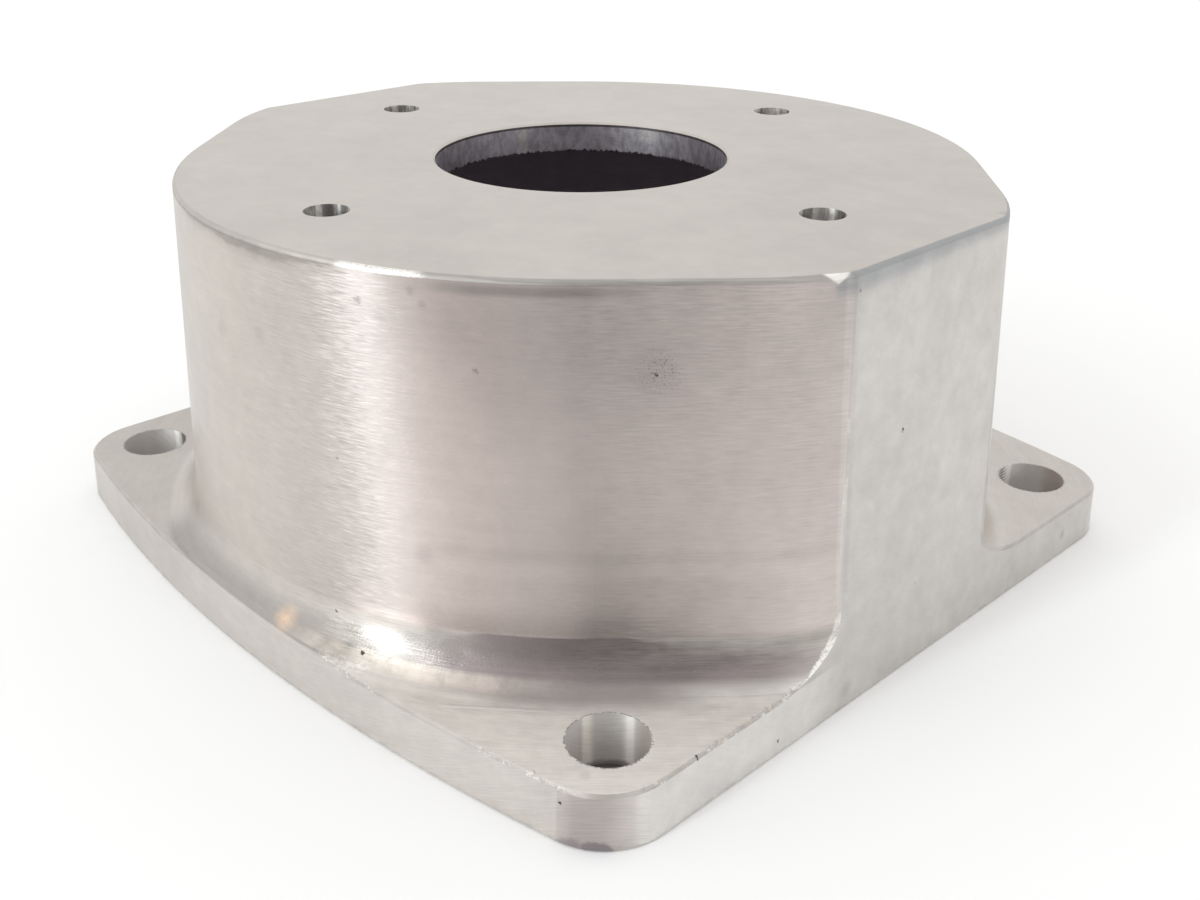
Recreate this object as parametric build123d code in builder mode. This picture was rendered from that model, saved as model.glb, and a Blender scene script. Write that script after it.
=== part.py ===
# Pump bell housing: one aluminium casting, machined on its two faces and in its holes.
# Millimetres. Origin on the bore axis at the mounting face, +Z towards the pump face.
# The two flat sides face +X and -X, the two round sides face +Y and -Y.
# Plan sizes of the cast sides hold at the mounting face, and the sides lean in above it.
import os
from math import acos, degrees, hypot

from build123d import *

os.makedirs("parts", exist_ok=True)

# Casting
total_height = 60.3
draft_angle = 3.2
wall_thickness = 6.4
pump_plate_thickness = 4.8

# Holes
pilot_bore_d = 44.7
pump_bolt_circle_d = 92.1
pump_bolt_count = 4
pump_bolt_hole_d = 6.2
flange_hole_spacing_x = 113.5
flange_hole_spacing_y = 98.8
flange_hole_d = 10.4

# Bell outline: a round body that clears the flange bolts, with a nose towards each flat side
bolt_to_bell = 11.59
nose_inset = 19.45
nose_offset = 26.2

# Flange outline: straight ends, bowed long sides, rounded corners
hole_to_end = 10.1
hole_to_side = 8.8
flange_bow_margin = 2.25
flange_corner_radius = 10.0
flange_thickness = 7.9

# Blends and edges
root_radius = 6.35
cavity_corner_radius = 6.0
cavity_root_radius = 4.0
pump_face_edge_radius = 0.7
side_edge_chamfer = 0.4
mounting_face_chamfer = 0.3
pilot_bore_chamfer = 0.3

bell_round_d = hypot(flange_hole_spacing_x, flange_hole_spacing_y) - 2 * bolt_to_bell
nose_radius = bell_round_d / 2 - nose_inset
tangent_angle = degrees(acos(nose_inset / nose_offset))
flange_length = flange_hole_spacing_x + 2 * hole_to_end
flange_end_width = flange_hole_spacing_y + 2 * hole_to_side
flange_middle_width = bell_round_d + 2 * flange_bow_margin
cavity_height = total_height - pump_plate_thickness
cavity_length = flange_length - 2 * wall_thickness
tolerance = 0.01


def stands_on_mounting_face(face):
    """True for the flange's side faces, which run up the flat sides of the bell."""
    box = face.bounding_box()
    return box.min.Z < tolerance < box.max.Z


with BuildSketch() as bell_outline:
    with BuildLine():
        nose = CenterArc((nose_offset, 0), nose_radius, -tangent_angle, 2 * tangent_angle)
        round_side = CenterArc((0, 0), bell_round_d / 2, tangent_angle, 180 - 2 * tangent_angle)
        right_flank = Line(nose @ 1, round_side @ 0)
        left_flank = mirror(right_flank, about=Plane.YZ)
        mirror([right_flank, left_flank], about=Plane.XZ)
        mirror(nose, about=Plane.YZ)
        mirror(round_side, about=Plane.XZ)
    make_face()

with BuildSketch() as flange_outline:
    with BuildLine():
        front_bow = ThreePointArc(
            (-flange_length / 2, -flange_end_width / 2),
            (0, -flange_middle_width / 2),
            (flange_length / 2, -flange_end_width / 2),
        )
        back_bow = mirror(front_bow, about=Plane.XZ)
        Line(front_bow @ 1, back_bow @ 1)
        Line(front_bow @ 0, back_bow @ 0)
    make_face()
    fillet(flange_outline.vertices(), flange_corner_radius)

with BuildSketch() as cavity_outline:
    add(bell_outline.sketch)
    offset(amount=-wall_thickness)
    Rectangle(cavity_length, bell_round_d, mode=Mode.INTERSECT)
    flat_ends = cavity_outline.edges().filter_by(Axis.Y)
    fillet(flat_ends.vertices(), cavity_corner_radius)

with BuildPart() as bell_housing:
    # Drafted bell on a plate wider than the flange, joined by the cast root fillet
    add(bell_outline.sketch)
    extrude(amount=total_height, taper=draft_angle)
    with BuildSketch():
        add(flange_outline.sketch)
        offset(amount=2 * root_radius)
    extrude(amount=flange_thickness)
    plate_top = bell_housing.faces().filter_by(Axis.Z).sort_by(Axis.Z)[-2]
    fillet(plate_top.inner_wires().edges(), root_radius)

    # Flange sides, which also cut the two flat sides of the bell in the same planes
    add(flange_outline.sketch)
    extrude(amount=total_height, taper=draft_angle, mode=Mode.INTERSECT)
    side_faces = bell_housing.faces().filter_by(stands_on_mounting_face)
    side_edges = side_faces.edges().filter_by_position(Axis.Z, tolerance, total_height - tolerance)
    open_edges = side_edges.filter_by(lambda edge: sum(edge in face.edges() for face in side_faces) == 1)
    chamfer(open_edges, side_edge_chamfer)

    # Worn rim of the pump face
    fillet(bell_housing.faces().sort_by(Axis.Z)[-1].edges(), pump_face_edge_radius)

    # Cavity, open at the mounting face
    add(cavity_outline.sketch)
    extrude(amount=cavity_height, taper=draft_angle, mode=Mode.SUBTRACT)
    cavity_roof = bell_housing.faces().filter_by(Axis.Z).sort_by(Axis.Z)[-2]
    fillet(cavity_roof.edges(), cavity_root_radius)
    chamfer(bell_housing.faces().sort_by(Axis.Z)[0].edges(), mounting_face_chamfer)

    # Pilot bore and pump bolt holes
    with Locations((0, 0, total_height)):
        Hole(pilot_bore_d / 2)
    pump_face = bell_housing.faces().sort_by(Axis.Z)[-1]
    chamfer(pump_face.inner_wires().edges(), pilot_bore_chamfer)
    with Locations((0, 0, total_height)):
        with PolarLocations(pump_bolt_circle_d / 2, pump_bolt_count):
            Hole(pump_bolt_hole_d / 2)

    # Flange bolt holes
    with Locations((0, 0, flange_thickness)):
        with GridLocations(flange_hole_spacing_x, flange_hole_spacing_y, 2, 2):
            Hole(flange_hole_d / 2)

bell_housing.part.label = "bell_housing"
export_step(bell_housing.part, "parts/bell_housing.step")
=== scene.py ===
# Pump bell housing in bare sanded aluminium, on a pale floor in soft studio light.
# Metres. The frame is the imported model's: bore axis along +Z, mounting face at Z = 0.
from math import cos, degrees, radians, sin, sqrt, tan
from types import SimpleNamespace

import bpy
from mathutils import Matrix, Vector

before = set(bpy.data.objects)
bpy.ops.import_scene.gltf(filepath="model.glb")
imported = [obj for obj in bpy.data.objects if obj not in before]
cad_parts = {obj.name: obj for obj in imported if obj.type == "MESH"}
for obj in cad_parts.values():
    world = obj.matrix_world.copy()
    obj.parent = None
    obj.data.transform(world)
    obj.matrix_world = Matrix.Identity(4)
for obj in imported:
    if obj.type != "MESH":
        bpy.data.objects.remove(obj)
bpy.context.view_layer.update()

# Camera, fitted to the photograph's round holes
CAMERA_PLACE = (0.14576, -0.13748, 0.10764)
CAMERA_HEADING = 135.80
CAMERA_PITCH = 26.06
CAMERA_ROLL = 0.214
CAMERA_NEAREST = 0.01
SENSOR_WIDTH = 36.0
LENS = 39.237

# Studio: azimuths are turned from the camera's heading
LAMP_AIM = (0.0, 0.0, 0.03)
WINDOW_AZIMUTH = 128
WINDOW_ELEVATION = 22
WINDOW_DISTANCE = 1.6
WINDOW_WIDTH = 0.16
WINDOW_HEIGHT = 1.40
WINDOW_WATTS = 6.5
WINDOW_COLOUR = (0.90, 0.97, 1.0)
ROOM_AZIMUTH = 180
ROOM_ELEVATION = 18
ROOM_CORE = 0.05
ROOM_REACH = 0.75
ROOM_HEIGHT_SQUEEZE = 0.35
ROOM_TONE = (0.220, 0.195, 0.205, 1.0)
SURROUND = (0.96, 0.96, 0.96, 1.0)
FILL = (1.0, 1.0, 1.0, 1.0)
BACKGROUND = (0.985, 0.985, 0.980, 1.0)

# Paper floor, with painted shade under the housing, in metres from its axis
FLOOR_SIDE = 6.0
PAPER = (0.985, 0.983, 0.977, 1.0)
PAPER_PAINTED_SHADE = (0.45, 0.43, 0.44, 1.0)
PAPER_PAINTED_SHADE_UNDER_LUG = (0.10, 0.09, 0.09, 1.0)
PAPER_ROUGHNESS = 0.9
COVERED_ACROSS = (0.062, 0.063)
COVERED_ALONG = (0.055, 0.056)
LUG_SHADE_REACH = (0.061, 0.063)

# Sizes of the housing that the material follows, in millimetres
MM_PER_METRE = 1000.0
TOP = 60.3
RIM = 0.75
FLANGE_TOP = 7.9
COVE_TOP = 14.1
SOFT_COVE_DEPTH = 3.0
DRAFT = tan(radians(3.2))
FLAT_REACH = 66.85
BOW_REACH = 65.9
BOW_RADIUS = 294.04
WALL_RADIUS = 63.65
CORNER_WAY = radians(42.06)
NOSE_OFFSET = 26.2
NOSE_RADIUS = 44.2
BORE_RADIUS = 22.35
FLANGE_HOLE_X = 56.75
FLANGE_HOLE_Y = 49.4
FLANGE_HOLE_RADIUS = 5.2
PUMP_BOLT_REACH = 46.05
PUMP_BOLT_RADIUS = 3.1
PUMP_PLATE = 4.8
PLATE_BOTTOM = TOP - PUMP_PLATE

# How far a normal has to lean before a face counts as turned up, as upright or as a flat side
UPWARD = (0.93, 0.98)
UPRIGHT = (0.10, 0.20)
FLAT_SIDEWAYS = (0.975, 0.99)

# Directions across the floor
FRONT_WAY = (0.69, -0.72, 0.0)
LEFT_WAY = (-0.70, -0.72, 0.0)
RIGHT_WAY = (1.0, 0.0, 0.0)
ACROSS_SCRATCH = (-0.658, 0.753, 0.0)
ALONG_SCRATCH = (0.753, 0.658, 0.0)

# Metal, as linear colours
METAL = (0.605, 0.567, 0.525, 1.0)
METAL_WALL = (0.645, 0.600, 0.555, 1.0)
# The wall's front, darker as a painted reflection of the unlit room
METAL_FRONT_SHADE = (0.590, 0.528, 0.500, 1.0)
METAL_ROSE_REFLECTION = (0.590, 0.480, 0.440, 1.0)
METAL_FLAT = (0.604, 0.579, 0.555, 1.0)
METAL_SIDE = (0.655, 0.617, 0.586, 1.0)
METAL_LUG_LIT = (0.975, 0.950, 0.905, 1.0)
METAL_SHADE = (0.465, 0.420, 0.402, 1.0)
METAL_LIT = (0.725, 0.705, 0.683, 1.0)
METAL_BORE = (0.830, 0.780, 0.840, 1.0)
METAL_EDGE = (0.420, 0.400, 0.385, 1.0)
METAL_GRIME_AND_SHADE = (0.370, 0.340, 0.315, 1.0)
METAL_DIM = (0.260, 0.240, 0.240, 1.0)
METAL_BLUE_SHADE = (0.420, 0.425, 0.430, 1.0)
METAL_BRIGHT = (0.980, 0.950, 0.900, 1.0)
PIT_DARK = (0.090, 0.080, 0.080, 1.0)
CAST_DARK = (0.530, 0.480, 0.540, 1.0)
COVE_GREEN_SHADE = (0.430, 0.400, 0.375, 1.0)
COVE_DARK_REFLECTION = (0.370, 0.318, 0.315, 1.0)
CREAM = (0.880, 0.800, 0.715, 1.0)
STAIN = (0.250, 0.225, 0.240, 1.0)
WARM_REFLECTION = (0.960, 0.700, 0.500, 1.0)

# Finish
FACE_ROUGHNESS = 0.40
WALL_ROUGHNESS = 0.40
COVE_ROUGHNESS = 0.34
LUG_ROUGHNESS = 0.65
RIM_ROUGHNESS = 0.55
LIT_RIM_ROUGHNESS = 0.30
CAST_ROUGHNESS = 0.65
STROKE_ROUGHNESS = 0.14
STREAK_ROUGHNESS = 0.06
MOTTLE_ROUGHNESS = 0.06
WALL_ANISOTROPY = 0.84
FLAT_ANISOTROPY = 0.5
COVE_ANISOTROPY = 0.2
COVE_GLEAM_ANISOTROPY = 0.8
ALONG_THE_STROKES = 0.25
STROKE_SWING = 0.05

# Relief: how far the normal is turned round the bell or tilted up, and the bump's heights, in
# units of the bump's distance
STROKE_TURN = 0.34
COVE_STROKE_SHARE = 0.5
WALL_TWIST = 0.0025
TWIST_FREE_HEIGHT = TOP * 0.6
FOOT_TWIST = 0.036
COVE_TWIST = -0.014
COVE_FOOT = 9.0
COVE_LIP = COVE_TOP - 0.2
COVE_LIP_SLOPE = 0.35
SOFT_EDGE_SLOPE = 0.9
SCRATCH_TILT = 0.32
HOLE_TILT = 0.35
BUMP_DISTANCE = 0.001
FACE_TURNING = 0.010
COVE_GRIT = 0.012
PIT_DEPTH = 0.08

# Noise round the bell: its scale along and across the strokes, per millimetre, and its slice
STROKE_NOISE = (0.32, 4.2, 0.0)
SCRATCH_NOISE = (0.30, 4.0, 7.0)
STREAK_NOISE = (0.035, 0.75, 3.0)
SPARK_NOISE = (0.42, 4.6, 13.0)
STROKE_CLIMB = 0.012

# Noise of the flats' slantwise strokes: its scale by Y and by Z, along and across them
SLANT_ALONG = (0.22, -0.14)
SLANT_ACROSS = (1.9, 3.4)

# Noise in the metal: its scale per millimetre
CLOUD_SCALE = 0.075
BLOTCH_SCALE = 0.24
MOTTLE_SCALE = 0.50
BURR_SCALE = 1.5
TORN_SCALE = 1.8
SPECK_SCALE = 3.2
PORE_SCALE = 4.6
GLITTER_SCALE = 0.6

# How much the strokes, streaks and clouds lighten or darken the metal, by region
WALL_STROKES = 0.24
FRONT_STROKES = 0.46
FLAT_STROKES = 0.14
FACE_STROKES = 0.08
WALL_STREAKS = 0.14
FLAT_STREAKS = 0.05
FACE_STREAKS = 0.06
# SPARKS lightens the painted glints by the wall's highlight
SPARKS = 0.15
CLOUDS = 0.16
MOTTLING = 0.14
FLAT_MOTTLING = 0.22
BLOTCHES = 0.12
FLAT_BLOTCHES = 0.23

# Bearings round the axis in degrees from +X, with the front corner near -40: the middle, half the
# width and the soft edge
CRISP_LIP = (-46.5, 7.0, 9.0)
FRONT_COVE = (-40.0, 16.0, 12.0)
LEFT_COVE = (-94.5, 15.5, 8.5)
LUG_MIDDLE = (-43.0, 6.0, 9.0)
ROSE_STRIP = (-58.0, 3.0, 6.0)
CREAM_BAND = (-62.0, 8.5, 12.0)
FLECKS = (-71.0, 2.5, 2.0)
SPARKS_BY_HIGHLIGHT = (-70.0, 3.5, 3.0)
LIT_RIM = (-66.5, 3.5, 3.0)
LEFT_RIM = (-96.0, 24.0, 6.0)
BURRS_BY_POINT = (-49.0, 3.5, 2.0)
BURRS_ON_RIGHT = (-27.0, 5.0, 3.0)
BAND_UNDER_RIM = (-49.0, 5.0, 10.0)
DIRT_LINE = (-88.0, 13.0, 7.0)
DIRT_SAG = (-86.0, 3.0, 7.0)
LONG_GLEAM = (163.0, 1.0, 2.5)
SHORT_GLEAM = (106.5, 2.5, 4.0)
LOW_LIGHT = (-16.0, 4.0, 12.0)
RIGHT_WALL = (-28.0, 5.0, 5.0)
OVER_COVE = (-46.0, 9.0, 9.0)
COVE_LIP_DARK = (-23.0, 9.0, 9.0)
BESIDE_HIGHLIGHT = (-67.0, 3.5, 3.0)
LESS_DARK_BESIDE_IT = (-67.8, 1.0, 3.0)
OVER_HIGHLIGHT = (-67.0, 2.5, 4.0)
DARK_START = (-58.0, 2.5, 4.0)
COVE_GLEAM = (-68.0, 7.0, 8.0)

# Heights in millimetres: the middle, half the width and the soft edge
FLECK_HEIGHT = (8.15, 0.25, 0.30)
BAND_HEIGHT = (TOP - 1.5, 0.15, 0.85)
PLAIN_CUT_HEIGHT = (11.0, 2.8, 0.6)
BRIDGE_HEIGHT = (13.8, 0.8, 0.8)
DARK_BAND_HEIGHT = (25.2, 0.4, 0.9)
LIGHT_BAND_HEIGHT = (22.8, 0.5, 0.9)

# Lines down the flat's ends by their Y, strips in the flange's holes by how far they lie toward the
# bell, and the scratch on the lug by its distances across and along: middle, half width, soft edge
FORE_END_LIGHT = (-17.4, 0.1, 0.5)
FORE_END_DARK = (-16.2, 0.1, 0.9)
FAR_END_LINE = (17.8, 0.5, 0.8)
END_HOLE_STRIP = (0.85, 0.02, 0.09)
SIDE_HOLE_STRIP = (0.46, 0.05, 0.08)
SCRATCH_LIGHT = (-69.87, 0.05, 0.18)
SCRATCH_DARK = (-69.50, 0.05, 0.2)
SCRATCH_LENGTH = (-4.2, 5.5, 2.0)

# Painted light and shade: the strength, the bearing and, where it has one, the height
HIGH_DARK = (-0.05, (-52.0, 5.0, 10.0))
RIGHT_OF_MIDDLE = (-0.07, (-38.0, 5.0, 6.0))
SIDE_LEFT = (0.06, (-57.0, 6.0, 5.0))
LIGHT_UNDER_LIP = (0.06, (-26.0, 4.0, 3.0), (11.1, 0.5, 0.6))
DARK_UNDER_LIP = (-0.08, (-19.5, 2.0, 3.0), (11.5, 1.0, 0.8))
LIP_START = (-0.16, (-31.5, 2.5, 3.0), (12.7, 0.4, 0.5))
FOOT_SHADE = (-0.18, (-37.0, 12.0, 6.0), (8.9, 0.35, 0.7))
FOOT_SHADE_RIGHT = (-0.07, (-25.0, 5.0, 5.0), (8.3, 0.2, 0.5))
FOOT_SHADE_MIDDLE = (-0.16, (-37.0, 4.0, 6.0), (9.7, 0.4, 0.8))
BESIDE_PIT = (-0.24, (-73.0, 1.5, 2.0), (8.9, 0.5, 0.4))
AFTER_HIGHLIGHT = (-0.16, (-59.4, 1.3, 1.8), (11.8, 1.4, 1.0))

# Marks on the casting, a painted warm reflection and a painted glint's bearing, with places in
# millimetres
POROUS_PATCH = (50.4, -35.0, 49.3)
POROUS_CORE = (50.1, -35.4, 49.0)
PIT_ON_FLAT = (64.8, -5.1, 37.1)
PIT_LOW_ON_FLAT = (66.1, 0.3, 12.7)
PIT_ON_WALL = (17.9, -59.0, 34.8)
PIT_LOW_ON_WALL = (17.2, -60.8, 12.4)
PIT_IN_COVE = (23.2, -61.2, 9.2)
PIT_ON_FLANGE_EDGE = (66.2, -44.0, 7.7)
PIT_ON_CORNER = (59.2, -59.5, 5.9)
PIT_ON_SIDE = (66.7, -29.1, 2.2)
PIT_UNDER_RIM = (63.6, -15.7, 58.0)
SMUDGE_UNDER_RIM = (5.4, -60.1, 58.9)
SMUDGE_IN_BAND = (21.6, -56.5, 56.0)
SMUDGE_BY_BAND = (28.0, -53.5, 58.0)
SMUDGE_BELOW_IT = (29.3, -52.9, 56.5)
SMUDGE_LOW_ON_WALL = (29.4, -54.9, 24.1)
SPECK_ON_WALL = (34.9, -49.9, 49.1)
SMUDGE_FAR_LEFT = (-4.1, -60.9, 46.6)
SMUDGE_LEFT = (5.3, -60.7, 48.2)
SMUDGE_ON_SIDE = (66.7, 42.8, 3.6)
SMUDGE_LOW_ON_FLAT = (66.7, -15.0, 2.9)
SMUDGE_ON_FLAT = (65.5, 6.2, 24.3)
SMUDGE_CORE = 0.1
DARK_FOOT = (63.5, -57.6, -0.4)
DARK_FOOT_TAIL = (60.6, -59.2, -1.2)
MARK_ON_LUG = (59.5, -55.8, 7.9)
WARM_REFLECTION_SPOT = (9.8, -64.2, 9.6)
LIT_CORNER_DEGREE = -16.6

# Pits with their radii
PITS = (
    (PIT_ON_FLAT, 0.16), (PIT_LOW_ON_FLAT, 0.1), (PIT_ON_WALL, 0.08),
    (PIT_LOW_ON_WALL, 0.12), (PIT_IN_COVE, 0.18), (PIT_ON_FLANGE_EDGE, 0.13),
    (PIT_ON_CORNER, 0.15), (PIT_ON_SIDE, 0.15), (PIT_UNDER_RIM, 0.1),
)

# Smudges with their soft reach and their strength
SMUDGES = (
    (SMUDGE_IN_BAND, 0.7, 0.40), (SMUDGE_BY_BAND, 0.7, 0.22), (SMUDGE_BELOW_IT, 0.7, 0.18),
    (SMUDGE_LOW_ON_WALL, 1.9, 0.14), (SPECK_ON_WALL, 0.35, 0.45), (SMUDGE_FAR_LEFT, 2.0, 0.09),
    (SMUDGE_LEFT, 1.5, 0.09), (SMUDGE_ON_SIDE, 0.9, 0.25), (SMUDGE_LOW_ON_FLAT, 1.7, 0.16),
    (SMUDGE_ON_FLAT, 2.2, 0.07),
)


class Graph:
    """Short names for building a node tree."""

    def __init__(self, tree):
        self.tree = tree
        tree.nodes.clear()

    def add(self, kind, **settings):
        node = self.tree.nodes.new(kind)
        for name, value in settings.items():
            setattr(node, name, value)
        return node

    def feed(self, socket, value):
        if isinstance(value, bpy.types.NodeSocket):
            self.tree.links.new(value, socket)
        else:
            socket.default_value = value

    def math(self, operation, a, b=0.0, c=0.0, clamp=False):
        node = self.add("ShaderNodeMath", operation=operation, use_clamp=clamp)
        for socket, value in zip(node.inputs, (a, b, c)):
            self.feed(socket, value)
        return node.outputs[0]

    def product(self, *values):
        result = values[0]
        for value in values[1:]:
            result = self.math("MULTIPLY", result, value)
        return result

    def total(self, *values):
        result = values[0]
        for value in values[1:]:
            result = self.math("ADD", result, value)
        return result

    def less(self, a, b):
        return self.math("SUBTRACT", a, b)

    def rest(self, a):
        return self.math("SUBTRACT", 1.0, a, clamp=True)

    def most(self, a, b):
        return self.math("MAXIMUM", a, b)

    def size(self, a, b):
        """Length of the vector (a, b)."""
        return self.math("SQRT", self.total(self.product(a, a), self.product(b, b)))

    def step(self, value, low, high, start=0.0, end=1.0):
        """A smooth step from start to end as value goes from low to high."""
        node = self.add("ShaderNodeMapRange", interpolation_type="SMOOTHSTEP")
        for socket, number in zip(node.inputs, (value, low, high, start, end)):
            self.feed(socket, number)
        return node.outputs[0]

    def drop(self, value, low, high):
        """1 up to low, falling to 0 at high."""
        return self.step(value, low, high, start=1.0, end=0.0)

    def near(self, value, centre, half, soft):
        """1 within half of centre, falling to 0 over soft."""
        away = self.math("ABSOLUTE", self.less(value, centre))
        return self.drop(away, half, half + soft)

    def blend(self, factor, a, b):
        node = self.add("ShaderNodeMix", data_type="FLOAT")
        self.feed(node.inputs[0], factor)
        self.feed(node.inputs[2], a)
        self.feed(node.inputs[3], b)
        return node.outputs[0]

    def vector(self, x, y, z):
        node = self.add("ShaderNodeCombineXYZ")
        for socket, value in zip(node.inputs, (x, y, z)):
            self.feed(socket, value)
        return node.outputs[0]

    def axes(self, vector):
        node = self.add("ShaderNodeSeparateXYZ")
        self.feed(node.inputs[0], vector)
        return node.outputs

    def vectors(self, operation, a, b, result="Vector"):
        node = self.add("ShaderNodeVectorMath", operation=operation)
        self.feed(node.inputs[0], a)
        self.feed(node.inputs[1], b)
        return node.outputs[result]

    def along(self, vector, way):
        """Length of vector along the direction way."""
        return self.vectors("DOT_PRODUCT", vector, way, "Value")

    def spot(self, point, centre, radius, soft):
        """1 within radius of centre, falling to 0 over soft."""
        return self.drop(self.vectors("DISTANCE", point, centre, "Value"), radius, radius + soft)

    def noise(self, vector, scale=1.0, detail=2.0, roughness=0.5):
        node = self.add("ShaderNodeTexNoise")
        self.feed(node.inputs["Vector"], vector)
        for name, value in (("Scale", scale), ("Detail", detail), ("Roughness", roughness)):
            self.feed(node.inputs[name], value)
        return node.outputs["Fac"]

    def tint(self, factor, a, b):
        node = self.add("ShaderNodeMix", data_type="RGBA")
        self.feed(node.inputs[0], factor)
        self.feed(node.inputs[6], a)
        self.feed(node.inputs[7], b)
        return node.outputs[2]


class Coat:
    """A colour that is painted over, place by place."""

    def __init__(self, g, colour):
        self.g = g
        self.colour = colour

    def paint(self, colour, *masks, strength=None):
        """Covers the coat with colour by the product of the masks, and of the strength if given."""
        if strength is not None:
            masks = (*masks, strength)
        self.colour = self.g.tint(self.g.product(*masks), self.colour, colour)


def direction(azimuth, elevation):
    """Unit vector for an azimuth in degrees from +X and an elevation above the floor."""
    a, e = radians(azimuth), radians(elevation)
    return Vector((cos(a) * cos(e), sin(a) * cos(e), sin(e)))


# In the functions of the material, g builds its node tree and s holds the values that they share.
# A region's value is 1 inside it and 0 outside.

def survey(g):
    """Where a point of the housing is, which way it faces and which region it lies in."""
    s = SimpleNamespace()
    place = g.add("ShaderNodeTexCoord")
    s.x, s.y, s.z = (g.product(axis, MM_PER_METRE) for axis in g.axes(place.outputs["Object"]))
    s.point = g.vector(s.x, s.y, s.z)
    s.side_x, s.side_y = g.math("ABSOLUTE", s.x), g.math("ABSOLUTE", s.y)
    s.to_front = g.less(s.x, s.y)
    s.radius = g.size(s.x, s.y)
    s.angle = g.math("ARCTAN2", s.y, s.x)
    s.degree = g.product(s.angle, degrees(1.0))
    s.normal = place.outputs["Normal"]
    s.nx, s.ny, s.nz = g.axes(s.normal)
    s.outwardness = g.total(g.product(s.nx, s.x), g.product(s.ny, s.y))
    measure_gaps(g, s)
    find_faces(g, s)
    find_holes(g, s)
    find_inside(g, s)
    find_front(g, s)
    return s


def measure_gaps(g, s):
    """Distances inwards from the flange's edges and outwards from the foot of the wall."""
    lean = g.product(s.z, DRAFT)
    s.flat_gap = g.less(g.less(FLAT_REACH, lean), s.side_x)
    bow = g.math("SQRT", g.less(BOW_RADIUS * BOW_RADIUS, g.product(s.x, s.x)))
    bow_gap = g.less(g.less(bow, BOW_RADIUS - BOW_REACH), g.total(lean, s.side_y))
    s.edge_gap = g.math("MINIMUM", s.flat_gap, bow_gap)
    s.on_flat = g.drop(s.flat_gap, 0.9, 1.3)

    corner_x, corner_y = g.product(s.side_x, cos(CORNER_WAY)), g.product(s.side_y, sin(CORNER_WAY))
    corner_gap = g.less(g.total(corner_x, corner_y), WALL_RADIUS)
    nose_x = g.less(s.side_x, NOSE_OFFSET)
    nose_gap = g.less(g.size(nose_x, s.side_y), NOSE_RADIUS)
    in_nose = g.math("GREATER_THAN", g.product(nose_x, tan(CORNER_WAY)), s.side_y)
    in_round = g.math("GREATER_THAN", s.side_y, g.product(s.side_x, tan(CORNER_WAY)))
    round_gap = g.less(s.radius, WALL_RADIUS)
    s.wall_gap = g.blend(in_round, g.blend(in_nose, corner_gap, nose_gap), round_gap)


def find_faces(g, s):
    """The pump face with its rim, the wall, the flats, the root and the flange's faces."""
    outward = g.step(s.outwardness, 0.0, 2.0)
    upward = g.step(s.nz, *UPWARD)
    s.upright = g.drop(g.math("ABSOLUTE", s.nz), *UPRIGHT)
    sideways = g.step(g.math("ABSOLUTE", s.nx), *FLAT_SIDEWAYS)
    s.flat = g.product(sideways, g.drop(s.flat_gap, 0.6, 0.9))
    not_flat = g.rest(s.flat)

    # The wall ends crisply above the front corner's root, and softly elsewhere
    s.crisp = g.near(s.degree, *CRISP_LIP)
    wall_start = g.less(COVE_TOP - 0.12, g.product(SOFT_COVE_DEPTH, g.rest(s.crisp)))
    above_cove = g.step(s.z, wall_start, COVE_TOP + 0.12)
    above_flange = g.step(s.z, FLANGE_TOP + 0.02, FLANGE_TOP + 0.3)
    s.wall = g.product(s.upright, not_flat, outward, above_cove)
    s.cove = g.product(above_flange, g.rest(above_cove), not_flat, outward)
    below_wall = g.drop(s.z, COVE_TOP - 0.1, COVE_TOP + 0.5)
    s.root = g.product(above_flange, below_wall, not_flat, outward)

    s.pump_face = g.product(upward, g.step(s.z, TOP - 0.5, TOP - 0.1))
    s.rim = g.product(g.step(s.z, TOP - RIM, TOP - RIM + 0.1), g.rest(upward), outward)
    s.edge_drop = g.step(s.y, -18.0, 18.0, start=2.9, end=1.9)

    s.flange_face = g.product(upward, g.near(s.z, FLANGE_TOP, 0.5, 0.5))
    s.flange_side = g.product(s.upright, g.drop(s.z, FLANGE_TOP - 0.1, FLANGE_TOP), outward)
    slanted = g.near(s.nz, 0.7, 0.2, 0.05)
    at_edge = g.drop(s.edge_gap, 0.6, 0.9)
    s.chamfer = g.product(slanted, g.near(s.z, FLANGE_TOP, 0.5, 0.1), at_edge)
    s.foot = g.most(s.cove, s.flange_face)
    s.flange_edge = g.most(s.flange_face, s.chamfer)


def find_holes(g, s):
    """The walls of the flange's holes, the bore and the pump bolt holes."""
    hole_x, hole_y = g.less(s.side_x, FLANGE_HOLE_X), g.less(s.side_y, FLANGE_HOLE_Y)
    s.hole_gap = g.less(g.size(hole_x, hole_y), FLANGE_HOLE_RADIUS)
    s.hole_wall = g.product(g.drop(s.hole_gap, 0.1, 0.3), s.upright)
    s.toward_bell = g.product(g.total(hole_x, hole_y), -1.0 / (FLANGE_HOLE_RADIUS * sqrt(2)))
    s.side_hole = g.step(g.product(s.x, s.y), 0.0, 100.0)
    s.end_hole = g.rest(s.side_hole)
    s.flange_side = g.product(s.flange_side, g.rest(s.hole_wall))

    in_plate = g.product(s.upright, g.step(s.z, PLATE_BOTTOM - 0.1, PLATE_BOTTOM))
    s.bore_wall = g.product(in_plate, g.drop(s.radius, BORE_RADIUS + 0.2, BORE_RADIUS + 0.4))
    bolt_along_x = g.size(g.less(s.side_x, PUMP_BOLT_REACH), s.side_y)
    bolt_along_y = g.size(s.side_x, g.less(s.side_y, PUMP_BOLT_REACH))
    bolt_gap = g.math("MINIMUM", bolt_along_x, bolt_along_y)
    in_bolt_hole = g.drop(bolt_gap, PUMP_BOLT_RADIUS + 0.1, PUMP_BOLT_RADIUS + 0.3)
    s.bolt_wall = g.product(in_plate, in_bolt_hole)


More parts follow.
